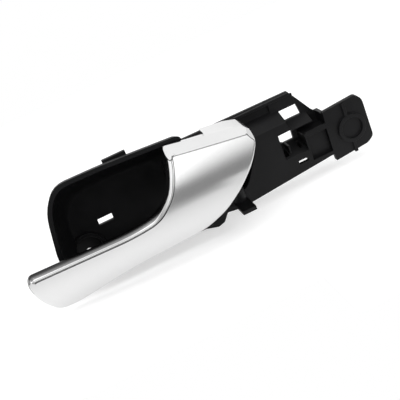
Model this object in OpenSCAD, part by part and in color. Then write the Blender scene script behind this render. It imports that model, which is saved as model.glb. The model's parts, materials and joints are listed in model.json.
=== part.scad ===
// Interior door handle of a car: a black carrier moulding with a finger cup, and a silver lever
// hinged in front of it on an upright pin. The origin is the axis of the locating spigot at the right
// end, in the front face of the panel. X runs along the handle, Y into the door, Z up.

/* [Carrier] */
// Wall thickness of the carrier moulding
wall = 2.2; // [1.8:0.1:2.6]
// Depth of the rear wall behind the panel face
rear_y = 11; // [10:0.5:12.5]
// Height of the rail above the origin
rail_top = 31.5; // [30.8:0.1:33]
// Height of the panel's upper edge, where the ledge starts
ledge_z = 19.5; // [18.5:0.5:21]
// Lowest edge of the panel below the origin
panel_low = 15; // [14:0.5:17]
// Width of the front bay between the panel and the box
bay_w = 14; // [12:0.5:15]

/* [Tab] */
// Width of the fixing tab
tab_w = 24.6; // [22:0.2:28]
// Height of the fixing tab
tab_h = 30.5; // [28:0.5:34]
// Outer diameter of the ring boss on the tab
ring_d = 16.4; // [14:0.2:18]
// Outer diameter of the locating spigot
spigot_d = 11; // [9:0.5:13]
// Length of the locating spigot behind the tab
spigot_l = 8; // [6:0.5:12]

/* [Cup] */
// Length of the cup along the handle
cup_l = 81; // [76:1:86]
// Height of the cup's upper rim above the origin
cup_top = 45.7; // [44.5:0.1:48]
// Distance of the rim in front of the panel face
rim_y = 8; // [6:0.5:10]
// Depth of the cup from rim to floor
cup_depth = 22; // [19:0.5:24]
// Width of the rim's front land
rim_w = 2.6; // [2.2:0.1:3.2]
// Diameter of the fixing screw's hole in the cup floor
screw_d = 5.5; // [4.5:0.1:6.5]
// Outer diameter of the screw's recess
recess_d = 20; // [17:0.5:22]

/* [Lever] */
// Distance from the hinge axis to the tip of the blade
reach = 119.5; // [112:0.5:126]
// Radius of the convex front face, about a line along the handle
face_r = 48; // [44:1:56]
// Distance of the face's crown in front of the panel face
crown_y = 25; // [24:0.5:27]
// Thickness of the lever shell
shell_t = 2.2; // [1.8:0.1:2.6]
// Width of the bead along the finger edge
bead_w = 3.2; // [2.6:0.1:4]
// Height of the bead above the face
bead_h = 1.1; // [0.7:0.1:1.4]
// Thickness of the lever at its edge, shell and frame together
side_d = 4.6; // [4.2:0.1:5.4]
// Height of the bevel along the head's upper edge
bevel_h = 3.8; // [3:0.1:4.6]

/* [Hinge] */
// Distance of the hinge axis to the left of the origin
hinge_back = 74.5; // [73.5:0.25:76]
// Distance of the hinge axis in front of the panel face
hinge_y = 4; // [3.5:0.1:4.5]
// Diameter of the hinge pin
pin_d = 4; // [3:0.1:4.5]
// Running clearance between pin and barrel, on the radius
pin_gap = 0.05; // [0.03:0.01:0.08]
// Outer diameter of the lever's barrels
barrel_d = 9.6; // [8.6:0.1:10]
// Wire diameter of the return spring
wire_d = 1.2; // [0.9:0.05:1.3]
// Number of turns of the return spring
turns = 5; // [4:1:5]
// Largest opening angle of the lever
open_deg = 40; // [34:1:40]
// Diameter of the rubber stop sleeve
stop_d = 6; // [5.4:0.1:6.4]
// Diameter of the rest button's head
rest_d = 8; // [6.5:0.5:8.5]

/* [Hidden] */
$fn = 48;
eps = 0.01;
hinge_x = -hinge_back;
cup_r = hinge_x - 16;
cup_x0 = cup_r - cup_l;
tip_x = hinge_x - reach;
tab_l = -tab_w * 0.55;
tab_r = tab_w * 0.45;
tab_b = -tab_h * 0.49;
tab_t = tab_h * 0.51;
box_l = tab_l - 13.5;
box_t = 8;
box_b = -panel_low + 6.6;
box_in = 3;
bay_l = box_l - bay_w;
bay_b = -1.4;
floor_y = cup_depth - rim_y;
pocket_play = 0.03;
face_yc = face_r - crown_y;
face_zc = 14;
head_t = 41.9;
bevel_z = head_t - bevel_h;
bevel_y = face_yc - sqrt(face_r * face_r - pow(bevel_z - face_zc, 2));
bar_y = -9.5;
arm_z = 4;
arm_h = 6;
arm_l = 24;
arm_w = 6;
lug_t = 2.2;
lug_top = -7.4;
low_z = -1;
coil_z = arm_z + arm_h + 1.4;
coil_h = (turns + 1) * wire_d * 1.06;
high_z = coil_z + coil_h + 0.6;
high_top = high_z + 5.4;
top_lug = high_top + 0.25;
coil_r = barrel_d / 2 - wire_d / 2 - 0.1;

// A closed outline through corners [x, z, t]: each corner is rounded from t before to t after it
function toward(p, q, t) = p + (q - p) * min(t / norm(q - p), 0.48);
function curve(a, p, b, s) = a * (1 - s) * (1 - s) + p * 2 * s * (1 - s) + b * s * s;
function xz(c) = [c[0], c[1]];
function soften(cs, steps = 4) = [
    for (i = [0:len(cs) - 1])
        let (
            p = xz(cs[i]),
            a = toward(p, xz(cs[(i + len(cs) - 1) % len(cs)]), cs[i][2]),
            b = toward(p, xz(cs[(i + 1) % len(cs)]), cs[i][2])
        )
        for (k = [0:steps]) curve(a, p, b, k / steps)
];

// The same corners moved inward by d, for a clockwise outline seen from the front
function unit(v) = v / norm(v);
function normal(p, q) = let (u = unit(q - p)) [u[1], -u[0]];
function inset(cs, d) = [
    for (i = [0:len(cs) - 1])
        let (
            p = xz(cs[i]),
            m = normal(xz(cs[(i + len(cs) - 1) % len(cs)]), p),
            n = normal(p, xz(cs[(i + 1) % len(cs)])),
            q = p + (m + n) * d / (1 + m * n)
        )
        [q[0], q[1], cs[i][2]]
];

// A prism along Y from y0 to y1 over a flat shape drawn in X and Z
module prism_y(y0, y1) {
    translate([0, y1, 0]) rotate([90, 0, 0]) linear_extrude(y1 - y0) children();
}

// A round bar along Y
module round_y(d, y0, y1) {
    translate([0, y1, 0]) rotate([90, 0, 0]) cylinder(d = d, h = y1 - y0);
}

// A block between two opposite corners
module block(a, b) {
    translate(a) cube(b - a);
}

// A closed skin through rings of equal count, closed at both ends by a fan round the ring's middle
function middle(ring) = [for (k = [0:2]) average([for (p = ring) p[k]])];
function average(v, i = 0, total = 0) = i == len(v) ? total / len(v) : average(v, i + 1, total + v[i]);
module skin(rings) {
    n = len(rings[0]);
    last = (len(rings) - 1) * n;
    count = len(rings) * n;
    faces = [
        for (r = [0:len(rings) - 2]) for (i = [0:n - 1])
            let (a = r * n + i, b = r * n + (i + 1) % n)
            for (f = [[a, b, b + n], [a, b + n, a + n]]) f,
        for (i = [0:n - 1]) [(i + 1) % n, i, count],
        for (i = [0:n - 1]) [last + i, last + (i + 1) % n, count + 1]
    ];
    points = [for (r = rings) for (p = r) p];
    polyhedron(concat(points, [middle(rings[0]), middle(rings[len(rings) - 1])]), faces, convexity = 6);
}

// Cup
cup_rim = [
    [cup_x0 + 9.5, cup_top + 0.3, 6],
    [cup_x0 + 36, cup_top - 0.2, 9],
    [cup_r - 2, cup_top - 3.2, 2.5],
    [cup_r, cup_top - 12, 3],
    [cup_r, -13.5, 5],
    [cup_x0 + 12, -13.5, 12],
    [cup_x0 - 4.5, 2, 9],
    [cup_x0 + 1, cup_top - 11, 8]
];
cup_floor = [
    [cup_x0 + 20, cup_top - 19, 9],
    [cup_x0 + 40, cup_top - 17.6, 8],
    [cup_r - 16, cup_top - 20, 8],
    [cup_r - 13, cup_top - 26, 5],
    [cup_r - 12, -8, 7],
    [cup_x0 + 17, -8, 9],
    [cup_x0 + 9, 3, 7],
    [cup_x0 + 12, cup_top - 26, 8]
];

// One ring of the bowl: at depth fraction s the outline has moved u of the way to the floor outline
function bowl_ring(rim, flat, s, y0, y1) =
    let (u = 1 - pow(1 - pow(s, 1.5), 0.8), a = soften(rim, 4), b = soften(flat, 4))
    [for (i = [0:len(a) - 1]) let (p = a[i] * (1 - u) + b[i] * u) [p[0], y0 + (y1 - y0) * s, p[1]]];

module cup_bowl() {
    depths = [0, 0.2, 0.38, 0.55, 0.7, 0.83, 0.93, 1];
    n = len(depths) - 1;
    inner = inset(cup_rim, rim_w);
    skin([
        for (k = [n:-1:0]) bowl_ring(cup_rim, inset(cup_floor, -wall), depths[k], -rim_y, floor_y + wall),
        for (k = [0:n]) bowl_ring(inner, cup_floor, depths[k], -rim_y, floor_y)
    ]);
}

screw_x = cup_x0 + 14;
screw_z = -10;
recess_z = -5;
screw_seat = floor_y + wall + 4;

// Space of the screw's pocket in the cup floor, with play on its radius
module pocket_space(play) {
    translate([screw_x, 0, recess_z]) round_y(recess_d + 2 * play, floor_y - 1.5, screw_seat + wall);
}

module screw_hole() {
    translate([screw_x, 0, recess_z]) round_y(recess_d - 4, floor_y - 9, screw_seat);
    translate([screw_x, 0, screw_z]) round_y(screw_d, floor_y, screw_seat + 9);
}

// A raised ring round a deep pocket, with the screw's hole low in the pocket's bottom
module screw_pocket() color([0.09, 0.09, 0.1]) {
    difference() {
        pocket_space(0);
        screw_hole();
    }
}

// Panel, ledge and rear wall
panel_edge = [
    [cup_r - 7, -17.3, 1],
    [hinge_x - 14.5, -panel_low - 4.9, 1],
    [hinge_x - 10.5, -panel_low - 3.8, 2],
    [hinge_x - 7, -panel_low + 0.6, 1.5],
    [hinge_x - 1, -panel_low - 0.4, 1],
    [hinge_x + 8, -panel_low - 0.2, 1],
    [tab_l - 3, -panel_low + 4.2, 0.5]
];

module panel_front() {
    prism_y(0, wall) polygon(concat(
        soften([
            [tab_l - 3, -panel_low + 4.2, 0.5],
            [tab_l - 3, bay_b, 0.5],
            [bay_l, bay_b, 0.5],
            [bay_l, ledge_z, 0.5],
            [hinge_x + 19.4, ledge_z, 1],
            [hinge_x + 19, 12, 4],
            [hinge_x + 8, lug_top + 1, 4],
            [cup_r - 7, lug_top + 1, 0.5]
        ], 2),
        [for (c = panel_edge) xz(c)]
    ));
}

// A sloping ledge from the panel's upper edge back to the rear wall
module ledge() {
    x0 = hinge_x + 18.6;
    x1 = bay_l + 6.5;
    translate([x0, 0, 0]) rotate([90, 0, 90]) linear_extrude(x1 - x0) polygon([
        [0, ledge_z],
        [rear_y, ledge_z + 5],
        [rear_y, ledge_z + 5 - wall],
        [wall, ledge_z - wall],
        [0, ledge_z - wall]
    ]);
}

module rear_wall() {
    difference() {
        prism_y(rear_y, rear_y + wall) polygon([
            [cup_r - 13, rail_top - 8],
            [cup_r - 4, rail_top],
            [tab_l - 11.8, rail_top - 0.7],
            [tab_l - 7, rail_top - 8],
            [tab_l - 1.8, rail_top - 16.2],
            [tab_l + wall, rail_top - 20.5],
            [tab_l + wall, -panel_low + 5],
            [bay_l, -panel_low + 2],
            [cup_r - 13, -panel_low + 1]
        ]);
        // Upper window, under the rail
        prism_y(rear_y - 1, rear_y + wall + 1)
            polygon([[bay_l + 7.6, 22.2], [bay_l + 18.2, 22.2], [bay_l + 19.4, 15.3], [bay_l + 9.8, 15.3]]);
        // Lower window, at the back of the bay
        prism_y(rear_y - 1, rear_y + wall + 1)
            polygon([[bay_l + 1.2, 11], [bay_l + 11.2, 11], [bay_l + 11, 3.6], [bay_l + 4.8, 3.6], [bay_l + 1.2, 5.6]]);
        // Opening for the lever's arm
        block([hinge_x - 21, rear_y - 1, arm_z - 0.8], [hinge_x + 6, rear_y + wall + 1, arm_z + arm_h + 0.8]);
    }
}

// A rounded nose along the rail's front, with its step near the upper window
module rail() {
    block([cup_r + 4, rear_y - 2.4, rail_top - 2.2], [tab_l - 12, rear_y + eps, rail_top - 0.7]);
    block([bay_l + 2.6, rear_y - 1.3, rail_top - 8.4], [tab_l - 10, rear_y + eps, rail_top - 2]);
}

// Floor under the panel, from its front to the rear wall
module underside() {
    for (i = [0:1]) {
        x0 = [cup_r - 13, bay_l - wall][i];
        x1 = [bay_l, tab_l + wall][i];
        z0 = [-panel_low + 1, -panel_low + 3.2][i];
        block([x0, wall - eps, z0], [x1, rear_y + wall, z0 + wall]);
    }
    // Sides of the bay
    block([bay_l - wall, 0, bay_b], [bay_l, rear_y + eps, ledge_z - wall]);
    // Strip of the panel over the bay
    prism_y(0, wall) polygon([
        [bay_l - eps, 14], [bay_l - eps, ledge_z], [bay_l + 6.3, ledge_z - 0.3], [bay_l + 8, 14.2]
    ]);
    // Ramp at the bottom of the bay, rising to the rear wall
    difference() {
        translate([bay_l - eps, 0, 0]) rotate([90, 0, 90]) linear_extrude(bay_w) polygon([
            [0, bay_b - wall], [0, bay_b], [rear_y, 3.4], [rear_y, 3.4 - wall]
        ]);
        block([bay_l + 0.9, 2.2, bay_b - 3], [bay_l + 3.2, 8, 6]);
        block([bay_l + 10.6, 4, bay_b - 3], [bay_l + 12.2, 9, 6]);
    }
    // Rib across the ramp
    block([bay_l + 4.4, 3.4, 0], [bay_l + 5.4, rear_y + eps, 4.4]);
}

// Box to the left of the tab with a sunken front, open at the back
module box() {
    lip = 1.2;
    block([box_l, box_in, box_b], [tab_l, box_in + wall, box_t]);
    block([box_l, 0, box_t - wall], [tab_l, rear_y + wall, box_t]);
    block([box_l, 0, box_b - wall], [box_l + wall, rear_y + wall, box_t]);
    block([tab_l - wall, 0, -panel_low + 4.4], [tab_l, rear_y + wall, box_t]);
    block([box_l + 1, 0, box_t - eps], [tab_l, lip, box_t + 0.9]);
    block([box_l, 0, box_b - wall], [tab_l, rear_y + wall, box_b]);
}

// Sloping shelf under the upper window
module shelf() {
    translate([bay_l + 9.2, 0, 0]) rotate([90, 0, 90]) linear_extrude(13) polygon([
        [4.2, 12],
        [rear_y + eps, 15.2],
        [rear_y + eps, 13.6],
        [4.2, 11.2]
    ]);
}

module tab() {
    corners = [
        [tab_l, tab_t - 0.3, 0.8],
        [tab_r - 4, tab_t + 1.2, 1.5],
        [tab_r - 0.6, tab_t - 2.4, 2.6],
        [tab_r, tab_b + 4.6, 1.8],
        [tab_r - 4, tab_b + 1.8, 1.5],
        [tab_l, tab_b, 0.6]
    ];
    prism_y(0, 3) polygon(soften(corners));
    // Side wall behind the tab's left edge, back to the rear wall
    translate([tab_l - eps, 0, 0]) rotate([90, 0, 90]) linear_extrude(wall + eps) polygon([
        [0, -panel_low + 4.4],
        [0, tab_t - 1],
        [rear_y, tab_t - 1.8],
        [rear_y + wall, tab_t - 2],
        [rear_y + wall, -panel_low + 4.4]
    ]);
    // Ring boss round the shallow seat of a pad
    round_y(ring_d, -1.7, eps);
    // Upright ribs above and below the ring
    block([-2.4, -1.4, ring_d / 2 - 1.4], [-0.5, eps, tab_t - 0.2]);
    block([-2, -1.2, tab_b + 0.5], [-0.2, eps, -ring_d / 2 + 1]);
    // Hollow spigot behind the tab
    round_y(spigot_d, 3 - eps, 3 + spigot_l);
}

module tab_recess() {
    round_y(ring_d - 4.2, -3, 0);
    round_y(spigot_d - 4.4, 4.4, 4 + spigot_l);
}

// Lower lug and upper lug carry the pin; the lower one stands out in front of the panel
module lugs() {
    block([hinge_x - 3.4, -20, lug_top - lug_t], [hinge_x + 4.6, rear_y + eps, lug_top]);
    translate([hinge_x, -hinge_y, lug_top - lug_t]) cylinder(d = barrel_d, h = lug_t);
    translate([hinge_x, -hinge_y, lug_top - eps]) cylinder(d = barrel_d, h = low_z - 0.2 - lug_top);
    block([hinge_x - 5.5, -hinge_y, top_lug], [hinge_x + 5.5, rear_y + eps, top_lug + 2.6]);
    translate([hinge_x, -hinge_y, top_lug]) cylinder(d = 11, h = 2.6);
    // Web from the upper lug up to the rail
    block([hinge_x - 1.2, 2, top_lug + 2.6 - eps], [hinge_x + 1.2, rear_y + eps, rail_top - 1.4]);
}

module pin_bores() {
    translate([hinge_x, -hinge_y, lug_top - lug_t - 1]) cylinder(d = pin_d, h = 8);
    translate([hinge_x, -hinge_y, top_lug - 1]) cylinder(d = pin_d, h = 6);
}

rest_x = cup_r + 2.5;
rest_z = 8;
pad_y = -rim_y - 3;
stop_r = arm_w / 2 + stop_d / 2 + 0.06;
stop_s = 9.5;
stop_x = hinge_x - stop_s * sin(open_deg) - stop_r * cos(open_deg);
stop_y = -hinge_y + stop_s * cos(open_deg) - stop_r * sin(open_deg);

// Bay wall beside the cup with the pad that takes the rest button, and the post of the stop sleeve
module bay_left() {
    low = arm_z - 0.8 - wall;
    high = arm_z + arm_h + 0.8;
    block([cup_r - 2, -rim_y, low], [cup_r + 7.5, -rim_y + 2.6, high + wall]);
    block([cup_r - 2, -rim_y, low], [cup_r + wall - 2, 5.5, high + wall]);
    for (z = [low, high])
        block([cup_r - 2, -rim_y, z], [cup_r + 4, rear_y + eps, z + wall]);
    block([cup_r - 12, -2, -panel_low + 1], [cup_r + 4, rear_y + wall, -panel_low + 1 + wall]);
    translate([stop_x, stop_y, lug_top + 1 - wall]) cylinder(d = stop_d - 2.4, h = 19);
    block([stop_x - 4, stop_y - 3, lug_top + 1 - wall], [stop_x + 4, rear_y + eps, lug_top + 1]);
}

module rest_bore() {
    translate([rest_x, 0, rest_z]) round_y(3.6, -rim_y - 1, -rim_y + 4);
}

// Small clip on top of the cup, and a cradle for the cable's end fitting on the back
module clips() {
    block([cup_x0 + 38, -1.4, cup_top - 5], [cup_x0 + 51, 0.6, cup_top - 0.9]);
    difference() {
        block([hinge_x + 24, rear_y + wall - eps, arm_z - 3], [hinge_x + 27.5, rear_y + 14.5, arm_z + arm_h + 3]);
        translate([hinge_x + 20, rear_y + 9, arm_z + arm_h / 2]) rotate([0, 90, 0]) cylinder(d = 5.2, h = 10);
        block([hinge_x + 20, rear_y + 9, arm_z + arm_h / 2 - 2.1], [hinge_x + 30, rear_y + 16, arm_z + arm_h / 2 + 2.1]);
    }
}

module carrier() color([0.09, 0.09, 0.1]) {
    difference() {
        union() {
            cup_bowl();
            panel_front();
            ledge();
            rear_wall();
            rail();
            underside();
            box();
            shelf();
            tab();
            lugs();
            bay_left();
            clips();
        }
        pocket_space(pocket_play);
        screw_hole();
        tab_recess();
        pin_bores();
        rest_bore();
        // Slot through the cup floor
        block([cup_x0 + 24.5, floor_y - 4, 5.2], [cup_x0 + 33, floor_y + 9, 9]);
        // Sunken front of the box
        block([box_l + 1, -1, box_b], [tab_l - 0.4, box_in, box_t - wall]);
        // Slot under the bay, with a notch behind it that leaves the slot open to the back
        block([bay_l + 6.6, -1, -7], [bay_l + 12.2, 4, -5]);
        block([bay_l + 6.6, 4, -panel_low - 1], [bay_l + 15, rear_y + wall + 1, -8.2]);
    }
}

// Lever outline seen from the front, clockwise from the upper left corner of the head
lever_edge = [
    [hinge_x - 28.8, head_t, 1.6],
    [hinge_x + 12.4, 35.9, 2],
    [hinge_x + 15.9, 32.8, 2],
    [hinge_x + 15.4, 27.2, 3],
    [hinge_x + 9.5, 18, 5],
    [hinge_x - 1.5, 6.6, 6],
    [hinge_x - 11.5, -1.4, 6],
    [hinge_x - 25, -7.4, 7],
    [hinge_x - 69, -9.9, 12],
    [tip_x + 19, -15.9, 6],
    [tip_x + 9.5, -14.6, 4],
    [tip_x + 1.8, -1, 7],
    [tip_x, 10.2, 3],
    [tip_x + 2.8, 13.6, 1.5],
    [hinge_x - 62, 11.9, 9],
    [hinge_x - 47, 13.6, 6],
    [hinge_x - 37.5, 21.4, 5],
    [hinge_x - 32.6, 31, 5]
];

module face_rod(d) {
    translate([tip_x - 5, face_yc, face_zc]) rotate([0, 90, 0]) cylinder(r = face_r - d, h = reach + 30, $fn = 96);
}

// Slab of the lever between two depths behind its face, over a flat shape
module face_slab(d0, d1) {
    intersection() {
        prism_y(-crown_y - 4, 0) children();
        difference() {
            face_rod(d0);
            face_rod(d1);
        }
    }
}

// Strip of the head's outline within d of its sloping upper edge
module top_strip(d) {
    intersection() {
        polygon(soften(lever_edge));
        polygon([
            [hinge_x - 40, head_t + 2.6], [hinge_x + 20, 35.8], [hinge_x + 20, 34.8 - d], [hinge_x - 40, head_t + 1.6 - d]
        ]);
    }
}

// Wedges taken off along the head's upper edge and its right corner
module head_bevel() {
    translate([hinge_x + 12.6, face_yc - sqrt(face_r * face_r - pow(32.6 - face_zc, 2)), 32.6])
        rotate([0, 57.1, 0])
            rotate([13.4, 0, 0])
                translate([-20, -20, 0])
                    cube([40, 50, 10]);
    translate([hinge_x - 28, bevel_y, bevel_z])
        rotate([0, 5.85, 0])
            rotate([25.5, 0, 0])
                translate([-10, -30, 0])
                    cube([60, 45, 12]);
}

module lever_shell() color([0.85, 0.86, 0.87]) {
    difference() {
        union() {
            face_slab(0, shell_t) polygon(soften(lever_edge));
            face_slab(0, side_d) difference() {
                polygon(soften(lever_edge));
                polygon(soften(inset(lever_edge, 1.8)));
            }
            // Thick upper edge of the head, which takes the bevel
            intersection() {
                prism_y(-crown_y, bar_y) top_strip(7);
                face_rod(0);
            }
            // Bead along the finger edge
            face_slab(-bead_h, eps) intersection() {
                difference() {
                    polygon(soften(lever_edge));
                    polygon(soften(inset(lever_edge, bead_w)));
                }
                polygon([
                    [tip_x - 1, 8], [hinge_x - 60, 8], [hinge_x - 44, 8], [hinge_x - 28, 25],
                    [hinge_x - 28, 38], [hinge_x - 40, 38], [tip_x - 1, 20]
                ]);
            }
            // Top wall of the head
            prism_y(bar_y - 3, -3) polygon([
                [hinge_x - 6.5, 39.1], [hinge_x + 6.8, 37.2], [hinge_x + 13.4, 35.2], [hinge_x + 15.7, 32.8],
                [hinge_x + 13.9, 32], [hinge_x + 12.4, 33.3], [hinge_x + 6.4, 35], [hinge_x - 6.5, 36.9]
            ]);
        }
        head_bevel();
    }
}

module lever_frame() color([0.12, 0.12, 0.13]) {
    difference() {
        union() {
            // Plate behind the shell, along blade and head
            face_slab(shell_t, side_d) difference() {
                polygon(soften(inset(lever_edge, 1.95)));
                top_strip(7.2);
            }
            // Barrels with the blocks that tie them to the plate
            for (z = [[low_z, arm_z + arm_h], [high_z, high_top]]) {
                translate([hinge_x, -hinge_y, z[0]]) cylinder(d = barrel_d, h = z[1] - z[0]);
            }
            difference() {
                intersection() {
                    face_rod(shell_t + 1);
                    union() {
                        block([hinge_x - 3, -30, 8.5], [hinge_x + 3, -hinge_y, arm_z + arm_h]);
                        block([hinge_x - 3, -30, high_z], [hinge_x + 3, -hinge_y, high_top]);
                        block([hinge_x - 3, -30, arm_z], [hinge_x - 1, -hinge_y - 3, high_top]);
                        translate([rest_x, 0, rest_z]) round_y(rest_d - 1, -30, pad_y);
                    }
                }
                // Room for the shell's edge
                face_slab(0, side_d + 0.15) difference() {
                    polygon(soften(inset(lever_edge, -1)));
                    polygon(soften(inset(lever_edge, 1.95)));
                }
            }
            // Arm to the release cable, with an upright eye for its nipple
            block([hinge_x - arm_w / 2, -hinge_y, arm_z], [hinge_x + arm_w / 2, arm_l - hinge_y - 4, arm_z + arm_h]);
            translate([hinge_x, arm_l - hinge_y - 4, arm_z]) cylinder(d = 9, h = arm_h);
        }
        translate([hinge_x, -hinge_y, low_z - 1]) cylinder(d = pin_d + 2 * pin_gap, h = high_top + 10);
        translate([hinge_x, arm_l - hinge_y - 4, arm_z - 1]) cylinder(d = 5, h = arm_h + 2);
        block([hinge_x, arm_l - hinge_y - 5, arm_z + 2], [hinge_x + 8, arm_l - hinge_y - 3, arm_z + arm_h - 2]);
        // Room for the spring between the barrels
        translate([hinge_x, -hinge_y, arm_z + arm_h]) cylinder(d = barrel_d + 1.6, h = high_z - arm_z - arm_h);
    }
}

module hinge_pin() color([0.7, 0.71, 0.72]) {
    translate([hinge_x, -hinge_y, lug_top - lug_t]) cylinder(d = pin_d, h = top_lug + 2.6 - lug_top + lug_t);
}

// Path of the spring: a leg along +Y to the rear wall, the turns, and a leg along -Y to the lever
coil_steps = 20;
leg_back = rear_y + hinge_y - 0.05;
leg_front = 9.2;
spring_path = concat(
    [[coil_r, leg_back, coil_z + wire_d / 2]],
    [
        for (i = [0:turns * coil_steps])
            let (a = i * 360 / coil_steps)
            [coil_r * cos(a), -coil_r * sin(a), coil_z + wire_d / 2 + i * wire_d * 1.06 / coil_steps]
    ],
    [[coil_r, -leg_front, coil_z + wire_d / 2 + turns * wire_d * 1.06]]
);

// Ring of points round the wire at one point of its path
function wire_ring(path, i) =
    let (
        a = path[max(i - 1, 0)],
        b = path[min(i + 1, len(path) - 1)],
        t = unit(b - a),
        side = unit(cross(t, [0, 0, 1])),
        up = cross(side, t)
    )
    [for (k = [0:7]) path[i] + (side * cos(k * 45) + up * sin(k * 45)) * wire_d / 2];

module return_spring() color([0.62, 0.63, 0.65]) {
    translate([hinge_x, -hinge_y, 0]) skin([for (i = [0:len(spring_path) - 1]) wire_ring(spring_path, i)]);
}

module rest_buffer() color([0.15, 0.15, 0.15]) {
    translate([rest_x, 0, rest_z]) {
        round_y(rest_d, -rim_y - 3, -rim_y);
        round_y(3.6, -rim_y - eps, -rim_y + 4);
    }
}

module stop_buffer() color([0.15, 0.15, 0.15]) {
    translate([stop_x, stop_y, arm_z - 1]) difference() {
        cylinder(d = stop_d, h = arm_h + 2);
        translate([0, 0, -1]) cylinder(d = stop_d - 2.4, h = arm_h + 4);
    }
}

carrier();
screw_pocket();
lever_shell();
lever_frame();
hinge_pin();
return_spring();
rest_buffer();
stop_buffer();
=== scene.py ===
"""Interior door handle of a car: a black carrier moulding with a finger cup and a satin silver pull lever."""

import json
import logging
import math
from contextlib import contextmanager
from dataclasses import dataclass, field
from enum import Enum
from typing import Callable, ClassVar, Iterator, NamedTuple, Sequence, Union

import bmesh
import bpy
from mathutils import Matrix, Vector

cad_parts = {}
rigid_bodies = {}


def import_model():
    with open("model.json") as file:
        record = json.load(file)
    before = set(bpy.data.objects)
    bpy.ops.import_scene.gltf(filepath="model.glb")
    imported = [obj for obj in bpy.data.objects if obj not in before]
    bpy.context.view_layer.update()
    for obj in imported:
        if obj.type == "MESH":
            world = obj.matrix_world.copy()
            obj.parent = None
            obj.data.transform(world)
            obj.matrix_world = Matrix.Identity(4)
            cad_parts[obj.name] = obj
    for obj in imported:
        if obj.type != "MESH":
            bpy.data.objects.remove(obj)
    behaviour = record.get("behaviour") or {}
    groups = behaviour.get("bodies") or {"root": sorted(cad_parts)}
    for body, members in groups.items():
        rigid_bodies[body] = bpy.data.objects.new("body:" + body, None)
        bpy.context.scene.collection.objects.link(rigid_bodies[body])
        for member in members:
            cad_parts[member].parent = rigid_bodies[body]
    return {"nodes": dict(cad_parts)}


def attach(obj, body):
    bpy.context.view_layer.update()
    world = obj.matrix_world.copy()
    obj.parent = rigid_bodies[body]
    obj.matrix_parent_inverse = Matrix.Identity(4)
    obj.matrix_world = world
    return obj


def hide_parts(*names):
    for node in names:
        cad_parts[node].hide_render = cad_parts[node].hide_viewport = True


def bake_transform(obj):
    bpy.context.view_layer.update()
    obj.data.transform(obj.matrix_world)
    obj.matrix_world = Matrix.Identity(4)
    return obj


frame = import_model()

MM = 0.001
HINGE_X = -74.5
LOG = logging.getLogger("door_handle")

Flat = tuple[float, float]
Triple = tuple[float, float, float]
Plane = tuple[Vector, Vector]
Socket = bpy.types.NodeSocket
Value = Union[Socket, float, Sequence[float]]


class Body(Enum):
    """The two rigid bodies of the handle."""

    CARRIER = "carrier"
    LEVER = "lever"


class Slot(Enum):
    """The material slots of the handle."""

    CARRIER_BLACK = "carrier_black"
    LEVER_SILVER = "lever_silver"
    FRAME_BLACK = "frame_black"
    PIN_STEEL = "pin_steel"
    SPRING_STEEL = "spring_steel"
    BUFFER_RUBBER = "buffer_rubber"


class Corner(NamedTuple):
    """A corner of an outline in X and Z, in millimetres, with how far its rounding reaches."""

    x: float
    z: float
    soft: float


class Lamp(NamedTuple):
    """A soft square lamp: its name, place and side length in metres, and its power in watts."""

    name: str
    place: Triple
    size: float
    watts: float


def grey(tone: float) -> tuple[float, float, float, float]:
    """Returns an opaque grey of a tone."""
    return (tone, tone, tone, 1.0)


def ease(share: float) -> float:
    """Returns a share, held between 0 and 1, with a soft start and end."""
    held = min(1.0, max(0.0, share))
    return held * held * (3 - 2 * held)


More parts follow.
